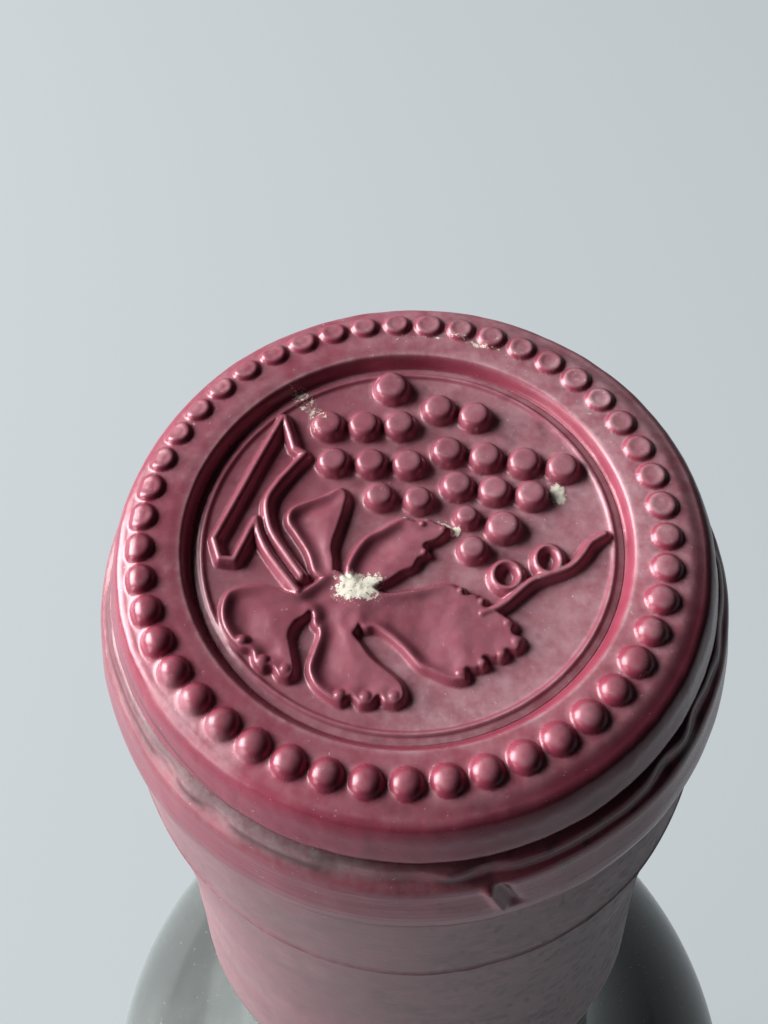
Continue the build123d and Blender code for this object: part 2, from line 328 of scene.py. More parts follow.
def blurred(values, size):
    """A square raster softened by a round brush of the given size in mm."""
    reach = max(1, int(round(2.5 * size / RASTER_STEP)))
    offsets = np.arange(-reach, reach + 1) * RASTER_STEP
    brush = np.exp(-((offsets / size) ** 2))
    brush /= brush.sum()
    for axis in (0, 1):
        values = np.apply_along_axis(lambda row: np.convolve(row, brush, mode="same"), axis, values)
    return values


raster_line = np.linspace(-RASTER_SIDE / 2, RASTER_SIDE / 2, RASTER_CELLS)
raster_x, raster_y = np.meshgrid(RECESS_AT[0] + raster_line, RECESS_AT[1] + raster_line, indexing="ij")
VINE = blurred(vine_height(raster_x, raster_y), 0.035)
LEAF_AREA = blurred(step(0.1, -0.25, leaf_distance(raster_x, raster_y)), 0.1)


def from_raster(raster, x, y):
    """A raster's value at any place of the recess, 0 outside its ridge."""
    limit = RASTER_CELLS - 1.001
    u = (x - RECESS_AT[0] + RASTER_SIDE / 2) / RASTER_STEP
    v = (y - RECESS_AT[1] + RASTER_SIDE / 2) / RASTER_STEP
    field = (np.hypot(x - RECESS_AT[0], y - RECESS_AT[1]) < RIDGE_R + 0.2).astype(float)
    u, v = np.clip(u, 0, limit), np.clip(v, 0, limit)
    i, j = u.astype(int), v.astype(int)
    fu, fv = u - i, v - j
    near = raster[i, j] * (1 - fu) + raster[i + 1, j] * fu
    far = raster[i, j + 1] * (1 - fu) + raster[i + 1, j + 1] * fu
    return field * (near * (1 - fv) + far * fv)


def top_height(x, y):
    """Height of the capsule's top over its whole width, rim at 0."""
    r = np.hypot(x - RECESS_AT[0], y - RECESS_AT[1])
    wall = step(FLOOR_R + 0.03, RECESS_R + 0.13, r)
    z = FLOOR * (1 - wall) - FLOOR_DISH * np.clip(1 - (r / FLOOR_R) ** 2, 0, 1)
    z = z + 0.13 * bell(r, RIDGE_R, 0.13) - 0.06 * bell(r, FLOOR_R - 0.02, 0.12)
    axis_r = np.hypot(x, y)
    z = z - 0.24 * step(12.4, 13.3, axis_r) + 0.05 * step(10.3, 11.0, r)
    fade = step(13.2, 12.8, axis_r)
    for cx, cy, size, near, share in BEADS:
        u = np.hypot(x - cx, y - cy)
        close = u < size * 1.6
        if not close.any():
            continue
        xs, ys = x[close], y[close]
        dome = boss(xs, ys, cx, cy, size, BEAD_TOP, 2.3)
        uu = u[close] / size
        button = 0.26 * np.clip(1 - uu**5, 0, 1) - 0.08 * share * step(0.8, 0.3, uu)
        z[close] += (near * dome + (1 - near) * button) * fade[close]
    z = z + from_raster(VINE, x, y)
    z = z + 0.03 * clouds(x, y, 3.0, 11) + 0.008 * clouds(x, y, 0.5, 12)
    return z


def chalk_and_glare_mask(x, y):
    """White deposits lying on the stamped top, 0 to 1, with a pale patch of painted reflection on the rim's
    shoulder at the front left.
    """
    spots = [
        (-2.5, -2.45, 1.0, 0.68, -0.1, 0.82),
        (-5.2, 7.8, 0.5, 1.1, 0.6, 0.62),
        (6.8, 2.4, 0.34, 0.48, 0.0, 0.9),
        (1.95, 0.45, 0.2, 0.18, 0.0, 1.0),
        (-4.5, 6.4, 0.5, 0.7, 0.3, 0.5),
        # Painted reflection with chalk: a pale patch on the rim's shoulder at the front left.
        (-9.3, -9.4, 1.7, 0.6, -0.83, 0.42),
    ]
    rough = clouds(x, y, 0.7, 31, 3)
    mask = np.zeros(np.shape(x))
    for cx, cy, rx, ry, turn, strength in spots:
        u = (x - cx) * math.cos(turn) + (y - cy) * math.sin(turn)
        v = (y - cy) * math.cos(turn) - (x - cx) * math.sin(turn)
        d = ((u / rx) ** 4 + (v / ry) ** 4) ** 0.25 - 0.25 * rough
        mask = np.maximum(mask, strength * np.clip(1.6 - 0.85 * d, 0, 1))
    thread = line_distance(x, y, smooth_curve([(-0.5, 1.1), (0.3, 1.0), (1.1, 1.0), (1.6, 0.8), (1.9, 0.5)]))
    mask = np.maximum(mask, 0.75 * step(0.16, 0.04, thread))
    angle = np.arctan2(y, x)
    arc = np.abs(np.hypot(x, y) - 11.35 - 0.25 * grain(angle * 6, angle * 0, 0.4, 35))
    along = step(1.85, 1.6, angle) * step(0.85, 1.1, angle)
    mask = np.maximum(mask, along * step(0.4, 0.0, arc) * (0.55 + 0.3 * rough))
    return mask


def dust_mask(x, y):
    """Pale dust over the stamped top, thicker towards its right side, 0 to 1."""
    cloud = 0.5 + 0.5 * clouds(x, y, 2.2, 41, 4)
    fine = 0.5 + 0.5 * clouds(x, y, 0.3, 45, 2)
    away = step(-10, 8, x - 0.3 * y)
    return np.clip(0.25 + 0.4 * away + 0.25 * (cloud - 0.5) + 0.2 * step(0.62, 0.8, fine) * cloud, 0, 1)


def to_world(points):
    """Points in mm from the rim's centre as a list of places in the frame, in metres."""
    out = np.array(points, float) * MM
    out[..., 2] += RIM_Z
    return out.reshape(-1, 3)


def make_mesh(name, verts, faces, material, node, attributes=None):
    """A visible piece that takes the place of a CAD node, with a number per vertex for each attribute."""
    mesh = bpy.data.meshes.new(name)
    mesh.from_pydata(verts.tolist(), [], faces)
    for key, values in (attributes or {}).items():
        data = mesh.attributes.new(key, "FLOAT", "POINT").data
        data.foreach_set("value", np.ascontiguousarray(values, dtype=np.float32).ravel())
    mesh.shade_smooth()
    mesh.materials.append(material)
    obj = bpy.data.objects.new(name, mesh)
    bpy.context.scene.collection.objects.link(obj)
    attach(obj, "root")
    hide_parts(node)
    return obj


def ring_faces(turns, stations):
    """Quads of a surface of revolution whose profile is a closed loop of stations."""
    faces = []
    for i in range(turns):
        a, b = i * stations, ((i + 1) % turns) * stations
        for j in range(stations):
            k = (j + 1) % stations
            faces.append((a + j, b + j, b + k, a + k))
    return faces


def lathe_faces(turns, stations):
    """Quads of a surface of revolution whose profile starts and ends on the axis, plus its two fans."""
    faces = []
    for i in range(turns):
        a, b = i * stations, ((i + 1) % turns) * stations
        for j in range(stations - 1):
            faces.append((a + j, b + j, b + j + 1, a + j + 1))
    first, last = turns * stations, turns * stations + 1
    for i in range(turns):
        a, b = i * stations, ((i + 1) % turns) * stations
        faces.append((first, b, a))
        faces.append((a + stations - 1, b + stations - 1, last))
    return faces


def resample(profile, spacing):
    """Evenly spaced points along a smooth profile through the given stations."""
    fine = smooth_curve(profile, steps=24)
    lengths = np.concatenate([[0], np.cumsum(np.hypot(*np.diff(fine, axis=0).T))])
    count = max(2, int(round(lengths[-1] / spacing)) + 1)
    at = np.linspace(0, lengths[-1], count)
    return np.stack([np.interp(at, lengths, fine[:, k]) for k in (0, 1)], axis=1)


# ---------------------------------------------------------------- materials
def new_material(name):
    """An empty node material, with its tree, nodes and links."""
    material = bpy.data.materials.new(name)
    material.use_nodes = True
    tree = material.node_tree
    tree.nodes.clear()
    return material, tree, tree.nodes, tree.links


def noise(tree, scale, detail=3.0, rough=0.55, stretch=None):
    """Noise over the object's own coordinates, drawn out along its axes by stretch."""
    nodes, links = tree.nodes, tree.links
    texture = nodes.new("ShaderNodeTexNoise")
    texture.inputs["Scale"].default_value = scale
    texture.inputs["Detail"].default_value = detail
    texture.inputs["Roughness"].default_value = rough
    coords = nodes.new("ShaderNodeTexCoord").outputs["Object"]
    if stretch:
        mapping = nodes.new("ShaderNodeMapping")
        mapping.inputs["Scale"].default_value = stretch
        links.new(coords, mapping.inputs["Vector"])
        coords = mapping.outputs["Vector"]
    links.new(coords, texture.inputs["Vector"])
    return texture.outputs["Fac"]


def ramp(tree, value, low, high, from_value=0.0, to_value=1.0):
    """A value taken smoothly from one range to another."""
    node = tree.nodes.new("ShaderNodeMapRange")
    node.interpolation_type = "SMOOTHSTEP"
    node.inputs["From Min"].default_value = low
    node.inputs["From Max"].default_value = high
    node.inputs["To Min"].default_value = from_value
    node.inputs["To Max"].default_value = to_value
    tree.links.new(value, node.inputs["Value"])
    return node.outputs["Result"]


def math_node(tree, operation, a, b=0.0):
    """One sum of two values or sockets; sums and products stay within 0 to 1."""
    node = tree.nodes.new("ShaderNodeMath")
    node.operation = operation
    node.use_clamp = operation in ("ADD", "MULTIPLY")
    for socket, value in zip(node.inputs, (a, b)):
        if isinstance(value, (int, float)):
            socket.default_value = value
        else:
            tree.links.new(value, socket)
    return node.outputs[0]


def mix_colour(tree, factor, a, b):
    """Colour a turning into b with the factor."""
    node = tree.nodes.new("ShaderNodeMix")
    node.data_type = "RGBA"
    if isinstance(factor, (int, float)):
        node.inputs["Factor"].default_value = factor
    else:
        tree.links.new(factor, node.inputs["Factor"])
    for socket, value in ((node.inputs["A"], a), (node.inputs["B"], b)):
        if isinstance(value, tuple):
            socket.default_value = value
        else:
            tree.links.new(value, socket)
    return node.outputs["Result"]


def attribute(tree, name):
    """The value that the mesh carries under this name."""
    node = tree.nodes.new("ShaderNodeAttribute")
    node.attribute_name = name
    return node.outputs["Fac"]


SPECK = srgb(222, 208, 208)
CHALK = srgb(226, 222, 204)
SCRATCH = srgb(96, 78, 82)
# Dark colour for grime and for painted shade in creases and on the shaded side.
GRIME_AND_SHADE = srgb(52, 34, 38)
# Pale dust colour, also used on the rim for a painted highlight and a painted reflection.
DUST_AND_HIGHLIGHT = srgb(198, 164, 170)
SKIRT_DUST = srgb(160, 150, 149)


def foil_material(name, paint, deep, dust_and_highlight_colour, dust_share, fine_scale, streaks):
    """Satin painted foil with cloudy paint, dust, chalk and fine marks, darkened by grime and painted shade;
    on the rim its dust and chalk also carry painted highlight and reflection.
    """
    material, tree, nodes, links = new_material(name)
    shader = nodes.new("ShaderNodeBsdfPrincipled")
    out = nodes.new("ShaderNodeOutputMaterial")
    links.new(shader.outputs[0], out.inputs["Surface"])
    shader.inputs["Metallic"].default_value = 0.08
    shader.inputs["Specular IOR Level"].default_value = 0.5

    cloud = ramp(tree, noise(tree, 260, 4), 0.35, 0.65)
    colour = mix_colour(tree, math_node(tree, "MULTIPLY", cloud, 0.55), paint, deep)
    # On the rim the dust attribute also carries a painted highlight along the recess edge and a painted
    # reflection on the shoulder at the front left.
    dust = attribute(tree, "dust")
    speck = ramp(tree, noise(tree, 4200, 3, 0.7), 0.67, 0.73)
    fine = ramp(tree, noise(tree, fine_scale, 4, 0.65), 0.25, 0.75, 0.35, 1.0)
    dust_and_highlight_share = math_node(tree, "MULTIPLY", dust, math_node(tree, "MULTIPLY", fine, dust_share))
    speckled = math_node(tree, "MULTIPLY", math_node(tree, "MULTIPLY", speck, dust), 0.7)
    dust_and_highlight_share = math_node(tree, "ADD", dust_and_highlight_share, speckled)
    colour = mix_colour(tree, dust_and_highlight_share, colour, dust_and_highlight_colour)
    colour = mix_colour(tree, math_node(tree, "MULTIPLY", speck, 0.35), colour, SPECK)
    # On the rim the chalk attribute also carries a painted reflection on the shoulder at the front left.
    grit = math_node(tree, "MULTIPLY", noise(tree, 4600, 4, 0.8), 1.6)
    lying = math_node(tree, "ADD", attribute(tree, "chalk"), -0.35)
    present = ramp(tree, attribute(tree, "chalk"), 0.02, 0.12)
    crumbs = math_node(tree, "ADD", lying, math_node(tree, "SUBTRACT", grit, 0.55))
    chalky = math_node(tree, "MULTIPLY", present, ramp(tree, crumbs, 0.5, 0.62))
    colour = mix_colour(tree, chalky, colour, CHALK)
    if streaks:
        hair = ramp(tree, noise(tree, 700, 4, 0.7, stretch=(0.5, 0.5, 7.0)), 0.42, 0.68)
        veil = math_node(tree, "MULTIPLY", hair, math_node(tree, "MULTIPLY", dust, 0.4))
        colour = mix_colour(tree, veil, colour, SCRATCH)
    # Grime darkens the colour; on the rim and the skirt it is painted shade in creases, in the groove and on
    # the shaded shoulder.
    grime_and_shade = attribute(tree, "grime_and_shade")
    colour = mix_colour(tree, math_node(tree, "MULTIPLY", grime_and_shade, 0.75), colour, GRIME_AND_SHADE)
    links.new(colour, shader.inputs["Base Color"])

    rough = math_node(tree, "ADD", math_node(tree, "MULTIPLY", dust_and_highlight_share, 0.5), 0.27)
    rough = math_node(tree, "ADD", rough, math_node(tree, "MULTIPLY", chalky, 0.4))
    links.new(rough, shader.inputs["Roughness"])

    height = math_node(tree, "MULTIPLY", noise(tree, 1500, 3), 0.35)
    if streaks:
        lines = noise(tree, 400, 3, 0.6, stretch=(0.35, 0.35, 9.0))
        height = math_node(tree, "ADD", height, math_node(tree, "MULTIPLY", lines, 0.6))
    height = math_node(tree, "ADD", height, math_node(tree, "MULTIPLY", chalky, 0.4))
    bump = nodes.new("ShaderNodeBump")
    bump.inputs["Strength"].default_value = 0.35
    bump.inputs["Distance"].default_value = 0.00012
    links.new(height, bump.inputs["Height"])
    links.new(bump.outputs["Normal"], shader.inputs["Normal"])
    return material


def glass_material():
    """Green bottle glass with a thin film of dust."""
    material, tree, nodes, links = new_material("bottle_glass")
    shader = nodes.new("ShaderNodeBsdfPrincipled")
    shader.inputs["Base Color"].default_value = (0.3, 0.42, 0.33, 1)
    shader.inputs["Transmission Weight"].default_value = 1.0
    shader.inputs["IOR"].default_value = 1.5
    rough = ramp(tree, noise(tree, 60, 3), 0.3, 0.75, 0.03, 0.14)
    links.new(rough, shader.inputs["Roughness"])
    film = nodes.new("ShaderNodeBsdfPrincipled")
    film.inputs["Base Color"].default_value = srgb(160, 168, 164)
    film.inputs["Roughness"].default_value = 0.75
    share = ramp(tree, noise(tree, 45, 4, 0.6), 0.35, 0.75, 0.2, 0.36)
    speck = ramp(tree, noise(tree, 2400, 2, 0.5), 0.68, 0.76, 0.0, 0.3)
    mix = nodes.new("ShaderNodeMixShader")
    links.new(math_node(tree, "ADD", share, speck), mix.inputs["Fac"])
    links.new(shader.outputs[0], mix.inputs[1])
    links.new(film.outputs[0], mix.inputs[2])
    bump = nodes.new("ShaderNodeBump")
    bump.inputs["Strength"].default_value = 0.15
    bump.inputs["Distance"].default_value = 0.0004
    links.new(noise(tree, 35, 2), bump.inputs["Height"])
    links.new(bump.outputs["Normal"], shader.inputs["Normal"])
    out = nodes.new("ShaderNodeOutputMaterial")
    links.new(mix.outputs[0], out.inputs["Surface"])
    return material


def wine_material():
    """Very dark red wine, its tone a little cloudy."""
    material, tree, nodes, links = new_material("red_wine")
    shader = nodes.new("ShaderNodeBsdfPrincipled")
    cloud = ramp(tree, noise(tree, 22, 3), 0.3, 0.7)
    colour = mix_colour(tree, cloud, (0.022, 0.0022, 0.006, 1), (0.034, 0.003, 0.0095, 1))
    links.new(colour, shader.inputs["Base Color"])
    shader.inputs["Roughness"].default_value = 0.12
    shader.inputs["IOR"].default_value = 1.34
    out = nodes.new("ShaderNodeOutputMaterial")
    links.new(shader.outputs[0], out.inputs["Surface"])
    return material


top_paint = foil_material("capsule_top", srgb(148, 74, 90), srgb(128, 56, 72), DUST_AND_HIGHLIGHT, 0.85, 1100, False)
rim_paint = foil_material("capsule_rim", srgb(146, 58, 78), srgb(126, 40, 60), DUST_AND_HIGHLIGHT, 0.85, 1100, False)
skirt_paint = foil_material("capsule_skirt", srgb(142, 58, 76), srgb(120, 42, 60), SKIRT_DUST, 1.0, 2400, True)
glass_paint = glass_material()
wine_paint = wine_material()

# ---------------------------------------------------------------- the stamped field
SEAM_R = FLOOR_R  # where the stamped field's mesh meets the rim's
SIDE = 280
CHALK_H = 0.09
RIM_CHALK_H = 0.05


def disc_grid(side):
    """Points of a square grid bent to a disc of radius 1."""
    line = np.linspace(-1, 1, side)
    u, v = np.meshgrid(line, line, indexing="ij")
    wide = np.abs(u) > np.abs(v)
    big = np.where(wide, u, v)
    small = np.where(wide, v, u)
    safe = np.where(big == 0, 1, big)
    turn = math.pi / 4 * small / safe
    first, second = big * np.cos(turn), big * np.sin(turn)
    return np.where(wide, first, second), np.where(wide, second, first)


ux, uy = disc_grid(SIDE)
x = RECESS_AT[0] + SEAM_R * ux
y = RECESS_AT[1] + SEAM_R * uy
z = top_height(x, y)
chalk = chalk_and_glare_mask(x, y)
z = z + CHALK_H * step(0.5, 0.95, chalk) * (0.5 + 0.5 * clouds(x, y, 0.2, 51))
verts = to_world(np.stack([x, y, z], axis=-1))
index = np.arange(SIDE * SIDE).reshape(SIDE, SIDE)
quads = np.stack([index[:-1, :-1], index[1:, :-1], index[1:, 1:], index[:-1, 1:]], axis=-1)
faces = quads.reshape(-1, 4).tolist()
edge = np.concatenate([index[:-1, 0], index[-1, :-1], index[:0:-1, -1], index[0, :0:-1]])
# The field's mesh is closed below by a wall and a flat fan, hidden inside the capsule.
UNDER = FLOOR - FLOOR_DISH - 0.3
under = verts[edge].copy()
under[:, 2] = RIM_Z + UNDER * MM
base = len(verts)
n = len(edge)
centre = base + n
verts = np.concatenate([verts, under, [[RECESS_AT[0] * MM, RECESS_AT[1] * MM, RIM_Z + UNDER * MM]]])
for i in range(n):
    k = (i + 1) % n
    faces.append((int(edge[k]), int(edge[i]), base + i, base + k))
    faces.append((base + k, base + i, centre))


def padded(values, extra):
    """A grid's values as a row, with noughts for the extra vertices after it."""
    return np.concatenate([np.asarray(values, float).ravel(), np.zeros(extra)])


flat = step(0.82, 0.975, upness(np.stack([x, y, z], axis=-1)))
relief = np.clip(from_raster(VINE, x, y) / 0.4, 0, 1)
leaf_area = from_raster(LEAF_AREA, x, y)
field_grime = 0.5 * step(0.62, 0.95, 0.5 + 0.5 * clouds(x, y, 0.8, 61)) * (1 - relief) + 0.14 * leaf_area
field_dust = dust_mask(x, y) * (1 - 0.25 * relief) * (1 - 0.5 * leaf_area) * (0.12 + 0.88 * flat)
make_mesh(
    "capsule_stamp", verts, faces, top_paint, "capsule",
    {
        "dust": padded(field_dust, n + 1),
        "chalk": padded(chalk, n + 1),
        "grime_and_shade": padded(field_grime, n + 1),
    },
)

# ---------------------------------------------------------------- the rim with its beads, and the band
TURNS = 1080
theta = np.linspace(0, 2 * math.pi, TURNS, endpoint=False)[:, None]
FLAT_STATIONS = 43
share = np.linspace(0, 1, FLAT_STATIONS)[None, :]
inner_x = RECESS_AT[0] + SEAM_R * np.cos(theta)
inner_y = RECESS_AT[1] + SEAM_R * np.sin(theta)
flat_x = inner_x * (1 - share) + BAND[0][0] * np.cos(theta) * share
flat_y = inner_y * (1 - share) + BAND[0][0] * np.sin(theta) * share
flat_z = top_height(flat_x, flat_y)
flat_chalk_and_glare = chalk_and_glare_mask(flat_x, flat_y)
crumble = 0.5 + 0.5 * clouds(flat_x, flat_y, 0.25, 51)
flat_z = flat_z + RIM_CHALK_H * step(0.5, 0.95, flat_chalk_and_glare) * crumble

band = resample(BAND, 0.13)[1:]
edge_drop = flat_z[:, -1:]
wave = 0.05 * ring_grain(theta, theta * 0, 14, 71)
band_r = band[None, :, 0] + wave + 0.03 * ring_clouds(theta, band[None, :, 1], 1.2, 72)
band_z = band[None, :, 1] + edge_drop * step(-1.2, 0.0, band[None, :, 1]) + wave * 0.6
band_x, band_y = band_r * np.cos(theta), band_r * np.sin(theta)
# The rim's hidden back, from the band's foot to the wall under the stamped field.
back = np.array([(13.3, -2.85), (13.2, -1.2), (12.6, -0.75), (11.2, -0.75), (10.4, -0.9), (9.72, -1.32)])
back_x = back[None, :, 0] * np.cos(theta)
back_y = back[None, :, 0] * np.sin(theta)
back_x[:, -1:] = inner_x
back_y[:, -1:] = inner_y
back_z = np.broadcast_to(back[None, :, 1], back_x.shape)
rx = np.concatenate([flat_x, band_x, back_x], axis=1)
ry = np.concatenate([flat_y, band_y, back_y], axis=1)
rz = np.concatenate([flat_z, np.broadcast_to(band_z, band_x.shape), back_z], axis=1)
rim_r = np.hypot(rx, ry)
rim_chalk_and_glare = np.zeros(rx.shape)
rim_chalk_and_glare[:, :FLAT_STATIONS] = flat_chalk_and_glare
# A pale patch on the rim's rounded shoulder at the front left: painted reflection, with chalk crumbs.
glare_distance = np.hypot(rx + 9.6, ry + 10.0) * 0.55
shoulder_zone = step(12.6, 13.3, rim_r) * step(-1.4, -0.2, rz)
glare_cloud = 0.5 + 0.5 * clouds(rx, ry, 0.8, 75)
crumbs = 0.6 * shoulder_zone * step(1.9, 0.6, glare_distance) * step(0.3, 0.7, glare_cloud)
rim_chalk_and_glare = np.maximum(rim_chalk_and_glare, crumbs)
rim_flat = step(0.72, 0.97, upness(np.stack([rx, ry, rz], axis=-1), closed=True))
# The recess edge carries a pale painted highlight; the shoulder at the front right is bare of dust and
# darkened with painted shade.
recess_r = np.hypot(rx - RECESS_AT[0], ry - RECESS_AT[1])
recess_edge_highlight = bell(recess_r, RECESS_R + 0.12, 0.13) * (rz > -0.4)
shade = step(-2, 8, rx) * step(2, -6, ry) * step(12.5, 13.1, rim_r)
rim_dust_and_highlight = (dust_mask(rx, ry) + 0.12 * step(-4, 7, ry)) * (0.06 + 0.94 * rim_flat)
rim_dust_and_highlight = rim_dust_and_highlight * (0.6 + 0.4 * step(-12, 4, ry))
rim_dust_and_highlight = (rim_dust_and_highlight + 0.3 * recess_edge_highlight) * (1 - 0.9 * shade)
# Painted reflection with dust: a pale smear along the shoulder at the front left.
dust_and_reflection_smear = bell(rim_r, 13.1, 0.75) * step(2.9, 1.2, np.hypot(rx + 9.4, ry + 9.4) * 0.75)
rim_dust_and_highlight = np.maximum(rim_dust_and_highlight, 0.85 * dust_and_reflection_smear * (0.45 + 0.55 * glare_cloud) * step(-0.7, -0.2, rz))
# A thin dark fold line that runs down the band at the left.
FOLD_AT = [0, 186, 205, 222, 236, 248, 360]
FOLD_Z = [-9, -0.9, -1.35, -1.8, -2.3, -2.75, -9]
fold_z = np.interp(np.degrees(theta), FOLD_AT, FOLD_Z)
fold_line = bell(rz, fold_z, 0.09) * (rim_r > 13.0)
stain = step(0.55, 0.85, 0.5 + 0.5 * clouds(rx, ry, 0.9, 76))
# Painted shade on the shoulder at the front right and in the groove at the band's foot, besides the dark fold
# line and stains.
rim_grime_and_shade = 0.9 * fold_line + 0.45 * shade + 0.8 * step(-2.45, -2.8, rz) + 0.2 * stain
make_mesh(
    "capsule_rim",
    to_world(np.stack([rx, ry, rz], axis=-1)),
    ring_faces(TURNS, rx.shape[1]),
    rim_paint,
    "capsule",
    {"dust": rim_dust_and_highlight, "chalk": rim_chalk_and_glare, "grime_and_shade": np.clip(rim_grime_and_shade, 0, 1)},
)

# ---------------------------------------------------------------- the skirt from the groove to the hem
TURNS = 700
theta = np.linspace(0, 2 * math.pi, TURNS, endpoint=False)[:, None]
upper = resample(SKIRT[:10], 0.14)
lower = resample(SKIRT[9:], 0.55)[1:]
outer = np.concatenate([upper, lower])
hem_back = np.array([
    (15.5, -46.8), (15.42, -46.6), (15.1, -41.0), (14.6, -28.5), (14.85, -16.0), (14.7, -8.4),
    (15.0, -6.9), (14.7, -5.0), (14.2, -3.6), (13.4, -2.95),
])
profile = np.concatenate([outer, hem_back])
pr, pz = profile[None, :, 0], profile[None, :, 1]
crimp = ring_grain(theta, pz * 0.6, 60, 81)
fold = ring_grain(theta, pz / 5.0, 24, 82)
crimp_zone = bell(pz, -3.4, 0.55)
collar_zone = bell(pz, -5.6, 2.2)
radius = pr + 0.13 * crimp_zone * crimp + 0.07 * collar_zone * fold
radius = radius + 0.05 * fold * step(-8.0, -14.0, pz) + 0.018 * ring_grain(theta, pz / 1.6, 90, 83)
height = pz + 0.16 * crimp_zone * ring_grain(theta, pz * 0, 30, 84)
# A small fold standing out of the collar, near the front.
TAB_AT = math.radians(282.5)
arc = (theta - TAB_AT + math.pi) % (2 * math.pi) - math.pi
along = arc * 15 + 0.35 * (pz + 5.0)
tab = bell(along, 0.0, 0.22) * step(-6.6, -5.9, pz) * step(-3.9, -4.4, pz)
dip = bell(along, 0.55, 0.3) * step(-6.4, -5.9, pz) * step(-4.0, -4.5, pz)
radius = radius + 0.28 * tab - 0.22 * dip
sx, sy = radius * np.cos(theta), radius * np.sin(theta)
sz = np.broadcast_to(height, radius.shape)
# Dust lies on the skirt, a little on the collar, and on a strip under the band at the front left.
cloud = 0.5 + 0.5 * ring_clouds(theta, pz, 3.0, 85, 4)
right = step(-6, 12, sx)
skirt_dust = step(-8.1, -8.9, sz) * (0.5 + 0.4 * right + 0.4 * (cloud - 0.5))
side_up = upness(np.stack([sx, sy, sz], axis=-1), closed=True)
collar_dust = 0.04 + 0.3 * step(0.1, 0.5, side_up) * step(-6.0, -4.6, sz) * (0.4 + 0.6 * cloud)
facing = np.degrees(theta)
strip = step(-3.9, -3.5, sz) * step(200, 222, facing) * step(275, 255, facing)
collar_dust = collar_dust * (1 - 0.9 * step(0, 8, sx) * step(4, -4, sy))
skirt_dust = skirt_dust + step(-8.4, -8.0, sz) * (collar_dust + 0.5 * strip)
# Painted shade in the crimps, in the groove and along the collar's foot; dirt as flecks and mottle towards the
# right.
skirt_grime_and_shade = 0.85 * bell(sz, -3.55, 0.22) * step(0.25, 0.6, 0.5 + 0.5 * crimp)
skirt_grime_and_shade = skirt_grime_and_shade + 0.7 * bell(sz, -2.95, 0.2) + 0.5 * bell(sz, -8.35, 0.2)
flecks = 0.5 + 0.5 * ring_clouds(theta, pz, 0.55, 86, 2)
skirt_grime_and_shade = skirt_grime_and_shade + 0.9 * step(0.66, 0.76, flecks) * right
mottle = 0.5 + 0.5 * ring_clouds(theta, pz * 1.8, 1.4, 87, 4)
skirt_grime_and_shade = skirt_grime_and_shade + 0.45 * step(0.5, 0.75, mottle) * step(-8.2, -9.5, sz) * (0.3 + 0.7 * right)
make_mesh(
    "capsule_skirt",
    to_world(np.stack([sx, sy, sz], axis=-1)),
    ring_faces(TURNS, profile.shape[0]),
    skirt_paint,
    "capsule",
    {"dust": np.clip(skirt_dust, 0, 1), "chalk": np.zeros(sx.shape), "grime_and_shade": np.clip(skirt_grime_and_shade, 0, 1)},
)

# ---------------------------------------------------------------- glass and wine
# Sizes of the bottle in mm; heights are measured from the rim, and NECK_R is at the neck's foot.
WALL = 2.7
NECK_FOOT = -88.0
SHOULDER_FOOT = -134.0
BODY_R = 38.0
NECK_R = 15.7
HEEL_R = 4.5
FOOT_R = 33.5
FOOT_LAND = 2.5
BASE_T = 4.0
PUNT_H = 20.0
BORE = (9.3, -3.2)
FILL = -63.0


def shoulder(top_r, body_r, count=26):
    """The S of the shoulder from the neck down to the body."""
    height = NECK_FOOT - SHOULDER_FOOT
    turn = 2 * math.atan((body_r - top_r) / height)
    radius = height / math.sin(turn) / 2
    points = []
    for t in np.linspace(0, turn, count // 2):
        points.append((top_r + radius * (1 - math.cos(t)), NECK_FOOT - radius * math.sin(t)))
    for t in np.linspace(turn, 0, count // 2)[1:]:
        points.append((body_r - radius * (1 - math.cos(t)), SHOULDER_FOOT + radius * math.sin(t)))
    return points


def dome(radius, z, height, count=14):
    """A spherical dome from its foot circle up to just short of the axis."""
    ball = (radius**2 + height**2) / (2 * height)
    half = math.asin(radius / ball)
    low = z + height - ball
    return [(ball * math.sin(t), low + ball * math.cos(t)) for t in np.linspace(half, half / count, count)]


def arc_points(cx, cz, radius, first, last, count=8):
    """Points of an arc, its angles in degrees."""
    angles = np.radians(np.linspace(first, last, count))
    return [(cx + radius * math.cos(t), cz + radius * math.sin(t)) for t in angles]


def inner_wall(grow):
    """The inside of the glass from the bore down to the dome; grow widens it into the wall."""
    body = BODY_R - WALL + grow
    neck = NECK_R - WALL + grow
    dome_r = BODY_R - WALL - HEEL_R
    heel_z = FOOT_DROP + BASE_T + HEEL_R
    points = shoulder(neck, body)
    points += arc_points(dome_r, heel_z, HEEL_R + grow, 0, -90)
    points += dome(dome_r, FOOT_DROP + BASE_T - grow, PUNT_H)[1:]
    return points


def spin(name, points, turns, material, node, ends):
    """A piece turned from an outline whose two ends are closed on the axis at the given heights."""
    ring = np.array(points, float)
    theta = np.linspace(0, 2 * math.pi, turns, endpoint=False)[:, None]
    r = ring[None, :, 0]
    z = np.broadcast_to(ring[None, :, 1], (turns, len(ring)))
    xyz = np.stack([r * np.cos(theta), r * np.sin(theta), z], -1)
    verts = to_world(xyz)
    tips = to_world(np.array([[0, 0, ends[0]], [0, 0, ends[1]]]))
    verts = np.concatenate([verts, tips])
    return make_mesh(name, verts, lathe_faces(turns, len(ring)), material, node, None)


def sleeve(inset, lower):
    """The glass finish under the foil, from the rim's edge down to the hem."""
    rows = []
    for r, z in resample(BAND, 0.5)[:-1].tolist() + resample(SKIRT, 1.5)[1:].tolist():
        rows.append((r - inset, z - (lower if z > -1.5 else 0.0)))
    return rows


